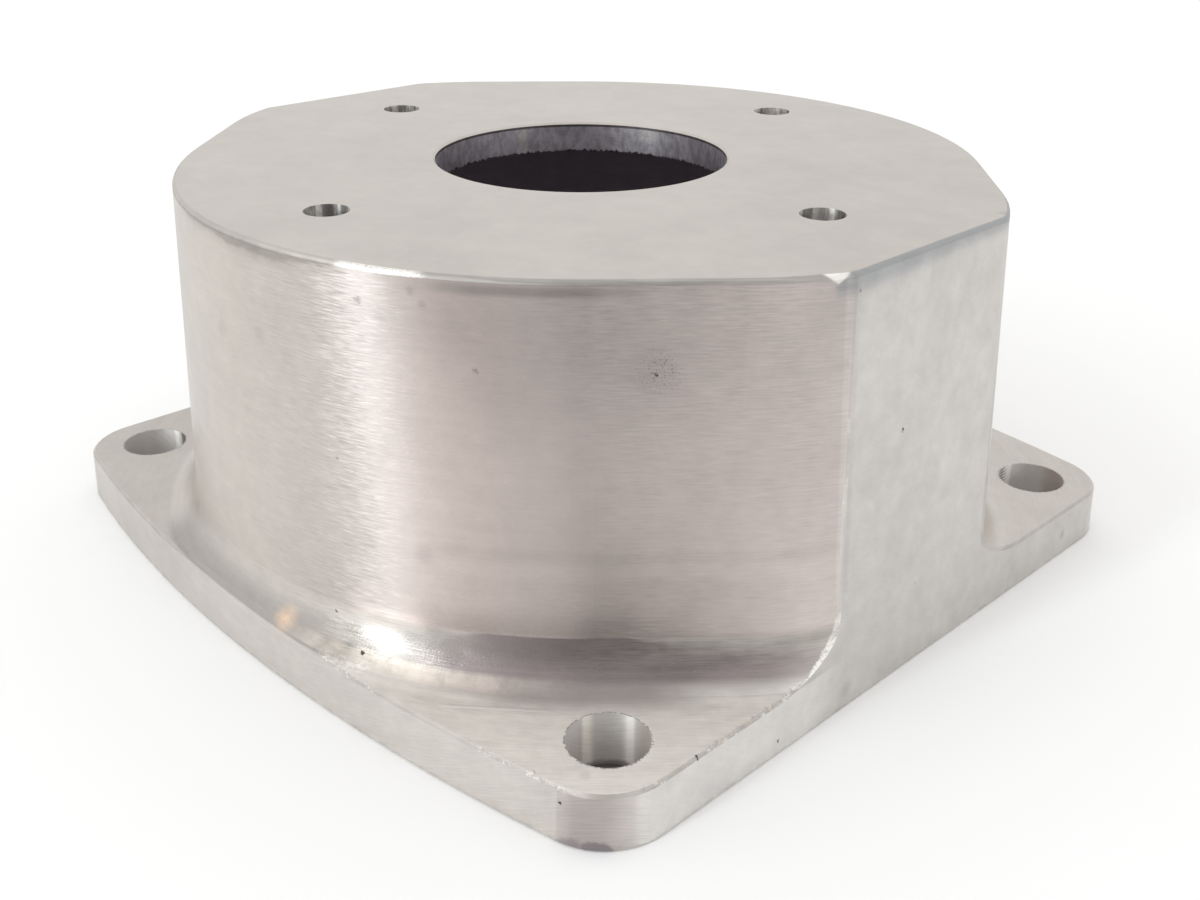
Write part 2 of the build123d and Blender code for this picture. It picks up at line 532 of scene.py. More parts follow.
def find_inside(g, s):
    """The bell's inner wall and roof."""
    below_plate = g.drop(s.z, TOP - 6.0, TOP - 5.0)
    past_bore = g.step(s.radius, BORE_RADIUS + 0.5, BORE_RADIUS + 1.0)
    inner = g.product(g.drop(s.outwardness, -2.0, 0.0), past_bore, below_plate)
    roof = g.product(g.drop(s.nz, -0.5, -0.2), g.step(s.z, 1.0, 2.0))
    s.inside = g.product(g.most(inner, roof), g.rest(s.hole_wall))


def find_front(g, s):
    """The places that face the camera: the wall's front, the front lug and corner, the coves."""
    s.front = g.step(g.along(s.normal, FRONT_WAY), 0.64, 0.97)
    s.front_cove = g.near(s.degree, *FRONT_COVE)
    s.left_cove = g.near(s.degree, *LEFT_COVE)
    s.flat_fore = g.drop(s.y, -26.0, -14.0)

    facing = g.product(g.math("ARCTAN2", s.ny, s.nx), degrees(1.0))
    to_the_front = g.product(g.step(facing, -80.5, -64.0), g.drop(facing, -47.0, -14.0))
    s.front_corner = g.product(to_the_front, g.step(s.to_front, 100.0, 105.0))

    middle = g.near(s.degree, *LUG_MIDDLE)
    lit_start = g.step(s.degree, -46.0, -34.0, start=2.3, end=1.5)
    lit_in_middle = g.step(s.wall_gap, 1.0, 7.5)
    lit_beside_it = g.step(s.wall_gap, lit_start, g.product(lit_start, 2.2))
    lit = g.blend(middle, lit_beside_it, lit_in_middle)
    s.front_lug = g.product(s.foot, g.step(s.to_front, 70.0, 85.0), lit)


def grain(g, s):
    """Sanding strokes round the bell, slantwise on the flats, and the metal's clouds and specks."""
    arc = g.product(s.angle, WALL_RADIUS)
    up_the_bell = g.total(g.less(s.z, s.wall_gap), g.product(arc, STROKE_CLIMB))
    across = g.blend(s.pump_face, up_the_bell, s.radius)

    def ring(scale_along, scale_across, piece):
        return g.vector(g.product(arc, scale_along), g.product(across, scale_across), piece)

    def slanted(scale_y, scale_z):
        return g.total(g.product(s.y, scale_y), g.product(s.z, scale_z))

    slant = g.vector(slanted(*SLANT_ALONG), slanted(*SLANT_ACROSS), 0.0)

    round_stroke = g.noise(ring(*STROKE_NOISE), detail=3.0, roughness=0.6)
    slant_stroke = g.noise(slant, detail=3.0, roughness=0.6)
    s.stroke = g.less(g.blend(s.flat, round_stroke, slant_stroke), 0.5)
    s.streak = g.less(g.noise(ring(*STREAK_NOISE), detail=3.0, roughness=0.6), 0.5)
    s.cloud = g.less(g.noise(s.point, CLOUD_SCALE, detail=3.0, roughness=0.55), 0.5)
    s.mottle = g.less(g.noise(s.point, MOTTLE_SCALE, detail=4.0, roughness=0.65), 0.5)
    s.blotch = g.less(g.noise(s.point, BLOTCH_SCALE), 0.5)
    s.speck = g.noise(s.point, SPECK_SCALE)
    s.uneven = g.less(s.speck, 0.5)
    s.burr = g.noise(s.point, BURR_SCALE, detail=4.0, roughness=0.75)

    # Sparks: painted glints in the wall's highlight
    sparkling = g.step(g.noise(ring(*SPARK_NOISE), detail=1.0), 0.58, 0.66)
    s.sparks = g.product(s.wall, g.near(s.degree, *SPARKS_BY_HIGHLIGHT), sparkling)
    scratched = g.step(g.noise(ring(*SCRATCH_NOISE), detail=1.0), 0.62, 0.72)
    s.scratches = g.product(s.wall, g.blend(s.front, 1.0, 0.15), scratched)
    lit_bits = g.step(g.total(s.speck, s.stroke), 0.30, 0.50, start=0.35, end=1.0)
    s.lit_rim = g.product(s.rim, g.near(s.degree, *LIT_RIM), lit_bits)


def paint_faces(g, s, coat):
    """Each face in its own tone of the metal, with painted reflection and shade on the wall and the
    root, and painted light on the front lug.
    """
    # A darker rose strip beside the wall's highlight: painted reflection
    coat.paint(METAL_ROSE_REFLECTION, s.wall, g.near(s.degree, *ROSE_STRIP), strength=0.35)
    coat.paint(METAL_FLAT, s.flat)
    coat.paint(METAL_SIDE, s.flange_side, g.most(g.rest(s.flat), s.flat_fore))
    low_or_crisp = g.most(s.crisp, g.drop(s.z, 10.0, 13.5))
    before_wall = g.step(s.to_front, 60.0, 75.0)
    less_to_right = g.step(s.degree, -34.0, -24.0, start=1.0, end=0.88)
    # Painted dark reflection of the room in the front root
    coat.paint(COVE_DARK_REFLECTION, s.foot, s.front_cove, before_wall, low_or_crisp, less_to_right)
    # The lit front lug is near-white: partly its matte sanded finish, partly painted light
    coat.paint(METAL_LUG_LIT, s.front_lug)
    # Painted shade in the left root
    coat.paint(COVE_GREEN_SHADE, s.root, s.left_cove, g.drop(s.z, 8.5, 14.0))


def flange_hole_colour(g, s):
    """Walls of the flange's drilled holes: bright strips of painted highlight, painted shade toward
    the bell and the floor.
    """
    # Painted light on the hole walls, darker where they face left
    coat = Coat(g, g.tint(g.step(g.along(s.normal, LEFT_WAY), 0.55, 0.85), METAL_LIT, METAL))
    coat.paint(METAL_LIT, s.end_hole, g.step(s.toward_bell, 0.86, 0.93), strength=0.8)
    coat.paint(METAL_BRIGHT, s.end_hole, g.near(s.toward_bell, *END_HOLE_STRIP))
    coat.paint(METAL_BRIGHT, s.side_hole, g.near(s.toward_bell, *SIDE_HOLE_STRIP), strength=0.8)
    coat.paint(METAL_DIM, s.side_hole, g.step(s.toward_bell, 0.60, 0.72))

    # Drill ridges in the right hole, their bright crests painted highlights
    turns = g.total(g.product(s.z, 11.0), g.product(s.toward_bell, 4.0))
    ridges = g.step(g.math("SINE", turns), -0.1, 0.5)
    in_right_hole = g.product(s.side_hole, g.step(s.y, 0.0, 1.0))
    beside_bell, upper_half = g.step(s.toward_bell, 0.50, 0.62), g.step(s.z, 3.6, 4.4)
    coat.paint(METAL_BRIGHT, in_right_hole, beside_bell, upper_half, ridges, strength=0.85)
    # Painted shade toward the floor
    coat.paint(METAL_DIM, g.step(g.total(s.z, s.mottle), 0.2, 1.0, start=0.7, end=0.0))
    return coat.colour


def paint_flange_sides(g, s, coat):
    """The flange's sides: painted shade at the front corner, painted light on the right, dark along
    the floor.
    """
    coat.paint(METAL_SHADE, s.flange_side, s.front_corner)
    right_side = g.product(s.flange_side, g.step(g.along(s.normal, RIGHT_WAY), 0.90, 0.97))
    coat.paint(METAL_LIT, right_side, s.flat_fore)
    wavy_height = g.total(s.z, g.product(s.mottle, 1.5))
    coat.paint(METAL_EDGE, s.flange_side, g.step(wavy_height, 0.15, 0.8, start=0.40, end=0.0))


def paint_lug_root(g, s, coat):
    """Root of the front lug: a rough creamy band, and bright flecks and sparkling specks painted as
    glints.
    """
    band_height = g.step(s.degree, -67.0, -60.0, start=8.9, end=8.75)
    band = g.product(s.foot, g.near(s.z, band_height, 0.25, 0.65), g.near(s.degree, *CREAM_BAND))
    grainy = g.step(s.mottle, -0.30, 0.10, start=0.35, end=1.0)
    coat.paint(CREAM, band, grainy, g.step(s.degree, -64.0, -50.0, start=0.95, end=0.45))

    fleck_zone = g.product(s.foot, g.near(s.degree, *FLECKS), g.near(s.z, *FLECK_HEIGHT))
    coat.paint(METAL_BRIGHT, fleck_zone, g.step(s.burr, 0.47, 0.58), strength=0.8)
    sparkle = g.step(g.total(s.speck, g.product(s.mottle, 0.35)), 0.72, 0.78)
    more_to_left = g.blend(g.drop(s.degree, -60.0, -48.0), 0.30, 0.75)
    coat.paint(METAL_BRIGHT, s.cove, s.front_cove, sparkle, more_to_left)


def paint_cut_edges(g, s, coat):
    """The edge where the flat cuts the root: bright and ragged in front as a painted highlight, plain
    behind.
    """
    width = g.product(g.step(s.z, 8.2, 11.5, start=0.12, end=0.34), g.drop(s.z, 13.0, 16.0))
    ragged_gap = g.total(s.flat_gap, g.product(s.mottle, 0.7))
    ragged = g.drop(g.less(ragged_gap, width), -0.05, 0.10)
    turned_up = g.step(s.nz, -0.1, 0.5, start=0.6, end=1.0)
    edge = g.product(s.on_flat, turned_up, g.rest(s.flat), g.step(s.z, 8.0, 8.3))
    specked = g.step(s.speck, 0.34, 0.52, start=0.35, end=1.0)
    coat.paint(METAL_BRIGHT, edge, g.step(s.to_front, 80.0, 82.0), ragged, specked)

    plain_edge = g.product(s.on_flat, g.rest(s.flat), g.near(s.z, *PLAIN_CUT_HEIGHT))
    fading_inwards = g.step(s.flat_gap, 0.2, 0.45, start=0.45, end=0.0)
    coat.paint(METAL_EDGE, plain_edge, g.step(s.y, 0.0, 1.0), fading_inwards)


def paint_flange_edge(g, s, coat):
    """The flange's dull upper edge with its burrs and painted shade at the front corner, and the torn
    rims of its holes.
    """
    # Worn patches along the edge, with painted shade added at the front corner
    worn_and_shaded = g.total(g.step(s.streak, -0.2, 0.2, start=0.45, end=0.15), g.product(s.front_corner, 0.45))
    coat.paint(METAL_EDGE, s.flange_edge, g.drop(s.edge_gap, 0.15, 0.40), worn_and_shaded)

    ragged_gap = g.total(s.edge_gap, g.product(s.mottle, -3.0))
    here_and_there = g.product(g.step(s.cloud, 0.0, 0.08), g.step(s.to_front, 60.0, 80.0))
    by_corner = g.most(g.near(s.degree, *BURRS_BY_POINT), g.near(s.degree, *BURRS_ON_RIGHT))
    burred = g.product(s.flange_edge, g.drop(ragged_gap, 0.25, 0.6), g.most(here_and_there, by_corner))
    coat.paint(METAL_EDGE, burred, g.step(s.burr, 0.40, 0.48, start=0.6, end=0.0))
    coat.paint(METAL_BRIGHT, burred, g.step(s.burr, 0.54, 0.62, start=0.0, end=0.55))

    torn_gap = g.total(s.hole_gap, g.product(s.mottle, 0.5), g.product(s.uneven, 0.9))
    around_hole = g.product(g.drop(torn_gap, 0.02, 0.22), g.drop(s.hole_gap, 0.5, 0.6))
    at_top = g.step(s.z, FLANGE_TOP - 0.6, FLANGE_TOP - 0.3)
    torn = g.product(around_hole, at_top, g.rest(s.hole_wall))
    coat.paint(METAL_DIM, torn, g.step(s.speck, 0.56, 0.62, start=0.60, end=0.0))
    coat.paint(METAL_BRIGHT, torn, g.step(s.speck, 0.56, 0.62))


def paint_rim(g, s, coat):
    """The pump face's rim with a painted highlight above the wall's highlight, and the flat's soft top
    edge in painted bluish shade.
    """
    on_left = g.near(s.degree, *LEFT_RIM)
    patchy = g.step(s.streak, -0.1, 0.1, start=0.9, end=0.4)
    cleaner_on_left = g.step(on_left, 0.0, 1.0, start=1.0, end=0.25)
    coat.paint(METAL_EDGE, s.rim, g.rest(s.lit_rim), patchy, cleaner_on_left)
    wavy_height = g.total(s.z, g.product(s.mottle, 0.4))
    grime = g.step(wavy_height, TOP - 0.60, TOP - 0.30, start=0.7, end=0.0)
    coat.paint(METAL_GRIME_AND_SHADE, s.rim, on_left, grime)
    coat.paint(METAL_BRIGHT, s.lit_rim)
    soft_top = g.step(g.total(s.z, s.edge_drop), TOP - 0.9, TOP + 1.6)
    # Painted bluish shade along the flat's soft top edge
    coat.paint(METAL_BLUE_SHADE, soft_top, s.on_flat, g.rest(s.pump_face), strength=0.9)


def paint_flat_ends(g, s, coat):
    """Faint lines down the flat's two ends: painted light and shade at the fore end, painted bluish
    shade at the far end.
    """
    upper = g.product(s.on_flat, g.step(s.z, COVE_TOP, COVE_TOP + 8.0))
    coat.paint(METAL_BRIGHT, upper, g.near(s.y, *FORE_END_LIGHT), strength=0.14)
    coat.paint(METAL_EDGE, upper, g.near(s.y, *FORE_END_DARK), strength=0.22)
    far_end = g.product(g.near(s.y, *FAR_END_LINE), g.drop(s.flat_gap, 1.5, 2.5))
    coat.paint(METAL_BLUE_SHADE, far_end, g.step(s.z, COVE_TOP, COVE_TOP + 3.0), strength=0.5)


def paint_wall_top(g, s, coat):
    """A dark band of painted shade under the front rim and a line of dirt under the left one."""
    band = g.product(s.wall, g.near(s.z, *BAND_HEIGHT), g.near(s.degree, *BAND_UNDER_RIM))
    sag = g.product(g.near(s.degree, *DIRT_SAG), 0.6)
    below_top = g.less(TOP, g.total(s.z, g.product(s.mottle, 1.4), g.product(s.cloud, 0.8), sag))
    thick = g.step(below_top, 0.7, 1.3, start=0.50, end=0.0)
    thin = g.step(below_top, 0.9, 2.6, start=0.28, end=0.0)
    dirt_line = g.product(s.wall, g.total(thick, thin), g.near(s.degree, *DIRT_LINE))
    coat.paint(METAL_GRIME_AND_SHADE, g.most(g.product(band, 0.8), dirt_line))


def bore_colour(g, s):
    """The bore's wall: dark streaks, two painted gleams, a black top edge and a ragged lower one
    painted black as the cavity's shade.
    """
    upright_streaks = g.vector(g.product(s.x, 0.9), g.product(s.y, 0.9), g.product(s.z, 0.5))
    streaky = g.noise(upright_streaks, detail=3.0, roughness=0.6)
    coat = Coat(g, g.tint(g.step(streaky, 0.35, 0.65, start=0.0, end=0.45), METAL_BORE, METAL_DIM))
    short_gleam = g.product(g.near(s.degree, *SHORT_GLEAM), g.step(s.z, TOP - 3.2, TOP - 2.0))
    gleam = g.most(g.near(s.degree, *LONG_GLEAM), short_gleam)
    coat.paint(METAL_BRIGHT, gleam, g.step(streaky, 0.35, 0.55, start=0.9, end=0.5))
    # The ragged lower edge is painted black, as the shade of the dark cavity below it
    jags = g.product(g.noise(g.vector(s.x, s.y, 0.0), TORN_SCALE, detail=1.0), 1.2)
    torn = g.drop(g.less(s.z, jags), PLATE_BOTTOM - 0.60, PLATE_BOTTOM - 0.30)
    coat.paint(PIT_DARK, g.most(torn, g.step(s.z, TOP - 0.8, TOP - 0.6, start=0.0, end=0.8)))
    return coat.colour


def bolt_hole_colour(g, s):
    """Walls of the pump bolt holes, with a threadlike glitter of painted highlights."""
    upright_point = g.vector(s.x, s.y, g.product(s.z, 0.25))
    glitter = g.noise(upright_point, GLITTER_SCALE, detail=3.0, roughness=0.6)
    return g.tint(g.step(glitter, 0.42, 0.56), METAL_EDGE, METAL_BRIGHT)


def find_pits(g, s):
    """Small dark pits with a ragged outline."""
    s.rough_point = g.vector(g.total(s.x, s.uneven), s.y, g.total(s.z, g.product(s.uneven, -1.2)))
    s.pits = g.spot(s.rough_point, POROUS_CORE, 0.10, 0.2)
    for centre, radius in PITS:
        s.pits = g.most(s.pits, g.spot(s.rough_point, centre, radius, radius))


def dirt(g, s):
    """The porous patch, the mark on the lug and the smudges."""
    dots = g.step(g.noise(s.point, PORE_SCALE, detail=1.0), 0.56, 0.68)
    porous = g.product(g.spot(s.point, POROUS_PATCH, 0.6, 3.4), dots)
    dark = g.total(
        g.product(porous, 0.42),
        g.product(g.spot(s.point, POROUS_PATCH, 0.3, 3.8), 0.13),
        g.product(g.spot(s.point, MARK_ON_LUG, 0.1, 1.2), 0.12),
        g.product(g.spot(s.point, SMUDGE_UNDER_RIM, 0.2, 1.4), 0.10),
    )
    for centre, reach, strength in SMUDGES:
        dark = g.total(dark, g.product(g.spot(s.rough_point, centre, SMUDGE_CORE, reach), strength))
    return g.math("MINIMUM", dark, 1.0)


def paint_marks(g, s, coat):
    """Dirt, pits, the stained foot of the front corner, a painted warm reflection and a painted glint
    on the rim's corner.
    """
    coat.paint(PIT_DARK, dirt(g, s))
    coat.paint(PIT_DARK, s.pits)
    sway = g.product(s.mottle, 1.5)
    wavy_point = g.vector(g.total(s.x, sway), s.y, g.total(s.z, g.product(s.mottle, -1.5)))
    tail = g.product(g.spot(wavy_point, DARK_FOOT_TAIL, 2.0, 1.0), 0.65)
    coat.paint(STAIN, g.most(g.spot(wavy_point, DARK_FOOT, 1.7, 0.5), tail), strength=0.85)
    # A painted warm reflection in the root
    warm_reflection_mottle = g.step(s.mottle, -0.25, 0.15, start=0.4, end=0.75)
    coat.paint(WARM_REFLECTION, g.spot(s.point, WARM_REFLECTION_SPOT, 0.1, 2.6), warm_reflection_mottle)
    # A painted glint on the rim's corner
    off_corner = g.product(g.math("ABSOLUTE", g.less(s.degree, LIT_CORNER_DEGREE)), 0.8)
    lit_corner = g.step(g.less(s.z, off_corner), TOP - 1.4, TOP - 0.9)
    coat.paint(METAL_BRIGHT, lit_corner, g.rest(s.pump_face))
    coat.paint(CAST_DARK, s.inside, strength=0.85)


def patch(g, s, strength, degree, height=None, region=None):
    """Painted light or shade, by its sign, about a bearing, and about a height or within a region if
    given.
    """
    spread = g.near(s.degree, *degree)
    if height is not None:
        spread = g.product(spread, g.near(s.z, *height))
    if region is not None:
        spread = g.product(region, spread)
    return g.product(spread, strength)


def wall_tones(g, s):
    """Broad painted light and shade on the wall, standing for the room's reflection in it, and sanded
    bands.
    """
    high_strength = g.total(patch(g, s, *HIGH_DARK), -0.12)
    high = g.product(s.wall, s.front, g.step(s.z, 33.0, 57.0), high_strength)
    low = g.product(s.wall, g.near(s.degree, *LOW_LIGHT), g.step(s.z, 16.0, 36.0, start=0.12, end=0.0))
    right_of_middle = patch(g, s, *RIGHT_OF_MIDDLE, region=s.wall)
    left_wall = g.product(s.wall, g.step(s.degree, -120.0, -84.0, start=-0.10, end=0.0))
    left_side = g.product(s.flange_side, g.step(s.x, -30.0, 0.0, start=-0.07, end=0.0))
    far_left = g.total(g.product(left_wall, g.step(s.z, 24.0, 44.0, start=0.4, end=1.0)), left_side)
    wavy_z = g.total(s.z, g.product(s.cloud, 2.5))
    dark_band = g.product(g.near(wavy_z, *DARK_BAND_HEIGHT), -0.055)
    light_band = g.product(g.near(wavy_z, *LIGHT_BAND_HEIGHT), 0.035)
    sanded_bands = g.product(s.wall, g.step(s.degree, -64.0, -57.0), g.total(dark_band, light_band))
    right = g.product(s.wall, g.near(s.degree, *RIGHT_WALL), g.step(s.z, 20.0, 26.0), 0.06)
    return high, low, right_of_middle, far_left, sanded_bands, right


def face_tones(g, s):
    """Broad painted light and shade on the flange and the pump face."""
    side_left = patch(g, s, *SIDE_LEFT, region=s.flange_side)
    lug_left = g.product(s.flange_face, g.step(s.degree, -57.0, -52.0, start=-0.07, end=0.0))
    top_right = g.product(s.pump_face, g.step(g.total(s.x, s.y), 20.0, 60.0, start=0.0, end=-0.04))
    return side_left, lug_left, top_right


def root_tones(g, s):
    """Painted dark reflections over the root, along its lip and along its foot, with a painted lighter
    patch under the lip.
    """
    above = g.product(s.wall, g.near(s.degree, *OVER_COVE), g.step(s.z, 13.6, 14.4))
    over_cove = g.product(above, g.step(s.z, 14.4, 19.0, start=-0.17, end=0.0))
    lip_height = g.product(g.step(s.z, 11.6, 12.7), g.drop(s.z, 13.3, 14.6))
    lip = g.product(lip_height, g.near(s.degree, *COVE_LIP_DARK), -0.28)
    under_lip = g.total(patch(g, s, *LIGHT_UNDER_LIP), patch(g, s, *DARK_UNDER_LIP))
    cove_lip = g.product(g.total(lip, under_lip, patch(g, s, *LIP_START)), g.rest(s.flat))
    cove_foot = g.total(
        patch(g, s, *FOOT_SHADE),
        patch(g, s, *FOOT_SHADE_RIGHT),
        patch(g, s, *FOOT_SHADE_MIDDLE),
    )
    lip_and_foot = g.product(g.total(cove_lip, cove_foot), g.rest(s.pump_face))
    return over_cove, lip_and_foot


def highlight_tones(g, s):
    """Painted shade beside the root's highlight and painted light above it, up to the wall."""
    beside = g.product(s.root, g.near(s.degree, *BESIDE_HIGHLIGHT), g.drop(s.z, 11.8, 13.6))
    darkest_beside = g.blend(g.near(s.degree, *LESS_DARK_BESIDE_IT), -0.28, -0.10)
    beside_hot = g.product(beside, g.step(s.z, 8.9, 9.6), darkest_beside)
    beside_pit = patch(g, s, *BESIDE_PIT)
    bridge_low = g.product(g.near(s.z, *BRIDGE_HEIGHT), 0.18)
    bridge_high = g.product(s.wall, g.step(s.z, 14.6, 20.0, start=0.10, end=0.0))
    bridge = g.product(g.near(s.degree, *OVER_HIGHLIGHT), g.total(bridge_low, bridge_high))
    after_hot = patch(g, s, *AFTER_HIGHLIGHT)
    dark_height = g.product(g.near(s.degree, *DARK_START), g.step(s.z, 10.5, 12.5))
    dark_start = g.product(dark_height, g.step(s.z, 13.5, 18.0, start=-0.07, end=0.0))
    return beside_hot, beside_pit, bridge, after_hot, dark_start


def scratch_tone(g, s):
    """The long scratch across the front lug: a painted light line with a painted shadow line beside
    it.
    """
    across = g.along(s.point, ACROSS_SCRATCH)
    light = g.product(g.near(across, *SCRATCH_LIGHT), 0.20)
    dark = g.product(g.near(across, *SCRATCH_DARK), -0.07)
    length = g.near(g.along(s.point, ALONG_SCRATCH), *SCRATCH_LENGTH)
    broken = g.step(s.speck, 0.35, 0.55, start=0.5, end=1.0)
    return g.product(s.flange_face, length, broken, g.total(light, dark))


def shade(g, s):
    """How much lighter or darker than its own colour a place is: painted light and shade, painted
    glints, and the grain's strokes, streaks and clouds.
    """
    broad = g.total(
        1.0, *wall_tones(g, s), *face_tones(g, s), *root_tones(g, s), *highlight_tones(g, s),
        scratch_tone(g, s),
    )
    stroke_strength = g.blend(s.flat, g.blend(s.front, WALL_STROKES, FRONT_STROKES), FLAT_STROKES)
    stroke_strength = g.blend(s.pump_face, stroke_strength, FACE_STROKES)
    strokes = g.total(g.product(s.sparks, SPARKS), g.product(s.stroke, stroke_strength))
    streak_strength = g.blend(s.flat, WALL_STREAKS, FLAT_STREAKS)
    streaks = g.product(s.streak, g.blend(s.pump_face, streak_strength, FACE_STREAKS))
    clouds = g.total(
        g.product(s.cloud, CLOUDS),
        g.product(s.mottle, g.blend(s.flat, MOTTLING, FLAT_MOTTLING)),
        g.product(s.blotch, g.blend(s.flat, BLOTCHES, FLAT_BLOTCHES)),
    )
    return g.total(broad, strokes, streaks, clouds)


def metal_colour(g, s):
    """The metal's colour, region by region with painted light and shade among it, then its marks, all
    scaled by painted light and shade and the grain.
    """
    # The wall is painted darker where it faces front, as painted shade
    coat = Coat(g, g.tint(s.wall, METAL, g.tint(s.front, METAL_WALL, METAL_FRONT_SHADE)))
    paint_faces(g, s, coat)
    coat.paint(flange_hole_colour(g, s), s.hole_wall)
    paint_flange_sides(g, s, coat)
    paint_lug_root(g, s, coat)
    paint_cut_edges(g, s, coat)
    paint_flange_edge(g, s, coat)
    paint_rim(g, s, coat)
    paint_flat_ends(g, s, coat)
    paint_wall_top(g, s, coat)
    coat.paint(bore_colour(g, s), s.bore_wall)
    coat.paint(bolt_hole_colour(g, s), s.bolt_wall)
    paint_marks(g, s, coat)
    scaled = g.add("ShaderNodeVectorMath", operation="SCALE")
    g.feed(scaled.inputs[0], coat.colour)
    g.feed(scaled.inputs["Scale"], shade(g, s))
    return scaled.outputs[0]


def metal_roughness(g, s):
    """Roughness by region, uneven along the strokes."""
    rough = g.blend(s.wall, FACE_ROUGHNESS, WALL_ROUGHNESS)
    rough = g.blend(s.cove, rough, COVE_ROUGHNESS)
    rough = g.blend(g.most(s.front_lug, s.hole_wall), rough, LUG_ROUGHNESS)
    rough = g.blend(g.most(s.rim, s.chamfer), rough, RIM_ROUGHNESS)
    rough = g.blend(s.lit_rim, rough, LIT_RIM_ROUGHNESS)
    rough = g.blend(s.inside, rough, CAST_ROUGHNESS)
    stroke, streak = g.product(s.stroke, STROKE_ROUGHNESS), g.product(s.streak, STREAK_ROUGHNESS)
    return g.total(rough, stroke, streak, g.product(s.mottle, MOTTLE_ROUGHNESS))


def metal_normal(g, s):
    """The normal: strokes turn it round the bell, and crisp or soft edges tilt it up."""
    by_stroke = g.product(s.stroke, g.total(s.wall, g.product(s.cove, COVE_STROKE_SHARE)), STROKE_TURN)
    up_the_wall = g.product(g.less(s.z, TWIST_FREE_HEIGHT), WALL_TWIST)
    at_foot = g.step(s.z, 14.0, 24.0, start=FOOT_TWIST, end=0.0)
    wall_twist = g.product(s.wall, g.total(up_the_wall, at_foot))
    turn = g.total(by_stroke, wall_twist, g.product(s.root, COVE_TWIST))
    turn_x = g.product(g.math("SINE", s.angle), turn, -1.0)
    turn_y = g.product(g.math("COSINE", s.angle), turn)
    around = g.vector(turn_x, turn_y, 0.0)

    up_to_lip = g.product(g.step(s.z, COVE_FOOT, COVE_TOP), g.math("LESS_THAN", s.z, COVE_LIP))
    climb = g.product(up_to_lip, s.crisp, COVE_LIP_SLOPE)
    fall = g.most(g.less(s.z, g.less(TOP, s.edge_drop)), 0.0)
    on_soft_edge = g.product(g.math("DIVIDE", fall, s.edge_drop), s.on_flat, g.rest(s.pump_face))
    soft_edge = g.product(on_soft_edge, SOFT_EDGE_SLOPE)
    scratched, in_holes = g.product(s.scratches, SCRATCH_TILT), g.product(s.hole_wall, HOLE_TILT)
    up = g.vector(0.0, 0.0, g.total(climb, soft_edge, scratched, in_holes))

    smooth = g.add("ShaderNodeNewGeometry").outputs["Normal"]
    straight = g.add("ShaderNodeVectorMath", operation="NORMALIZE")
    g.feed(straight.inputs[0], g.vectors("ADD", smooth, g.vectors("ADD", around, up)))

    turning = g.product(s.stroke, g.blend(s.pump_face, FACE_TURNING, 0.0))
    grit = g.product(s.cove, s.uneven, COVE_GRIT)
    bump = g.add("ShaderNodeBump")
    g.feed(bump.inputs["Strength"], 1.0)
    g.feed(bump.inputs["Distance"], BUMP_DISTANCE)
    g.feed(bump.inputs["Height"], g.total(turning, grit, g.product(s.pits, -PIT_DEPTH)))
    g.feed(bump.inputs["Normal"], straight.outputs[0])
    return bump.outputs[0]


def aluminium(material):
    """Bare aluminium: turned faces, walls sanded round the bell, slantwise on the flats, cast root."""
    material.use_nodes = True
    g = Graph(material.node_tree)
    s = survey(g)
    grain(g, s)
    find_pits(g, s)

    in_cove = g.blend(g.near(s.degree, *COVE_GLEAM), COVE_ANISOTROPY, COVE_GLEAM_ANISOTROPY)
    anisotropy = g.total(
        g.product(s.wall, WALL_ANISOTROPY),
        g.product(s.cove, in_cove),
        g.product(s.flat, FLAT_ANISOTROPY),
    )
    metal = g.add("ShaderNodeBsdfPrincipled")
    g.feed(metal.inputs["Metallic"], 1.0)
    g.feed(metal.inputs["Base Color"], metal_colour(g, s))
    g.feed(metal.inputs["Roughness"], metal_roughness(g, s))
    g.feed(metal.inputs["Anisotropic"], anisotropy)
    swing = g.total(ALONG_THE_STROKES, g.product(s.stroke, STROKE_SWING))
    g.feed(metal.inputs["Anisotropic Rotation"], swing)
    tangent = g.add("ShaderNodeTangent", direction_type="RADIAL", axis="Z")
    g.feed(metal.inputs["Tangent"], tangent.outputs[0])
    g.feed(metal.inputs["Normal"], metal_normal(g, s))
    output = g.add("ShaderNodeOutputMaterial")
    g.feed(output.inputs["Surface"], metal.outputs[0])


def paper(material):
    """White paper, painted in shade where the housing stands on it."""
    material.use_nodes = True
    g = Graph(material.node_tree)
    place = g.axes(g.add("ShaderNodeTexCoord").outputs["Object"])
    across, along = g.math("ABSOLUTE", place[0]), g.math("ABSOLUTE", place[1])
    covered = g.product(g.drop(across, *COVERED_ACROSS), g.drop(along, *COVERED_ALONG))
    under_lug = g.step(g.size(across, along), *LUG_SHADE_REACH)
    shader = g.add("ShaderNodeBsdfPrincipled")
    g.feed(shader.inputs["Roughness"], PAPER_ROUGHNESS)
    g.feed(shader.inputs["Specular IOR Level"], 0.0)
    shaded = g.tint(under_lug, PAPER_PAINTED_SHADE, PAPER_PAINTED_SHADE_UNDER_LUG)
    g.feed(shader.inputs["Base Color"], g.tint(covered, PAPER, shaded))
    output = g.add("ShaderNodeOutputMaterial")
    g.feed(output.inputs["Surface"], shader.outputs[0])


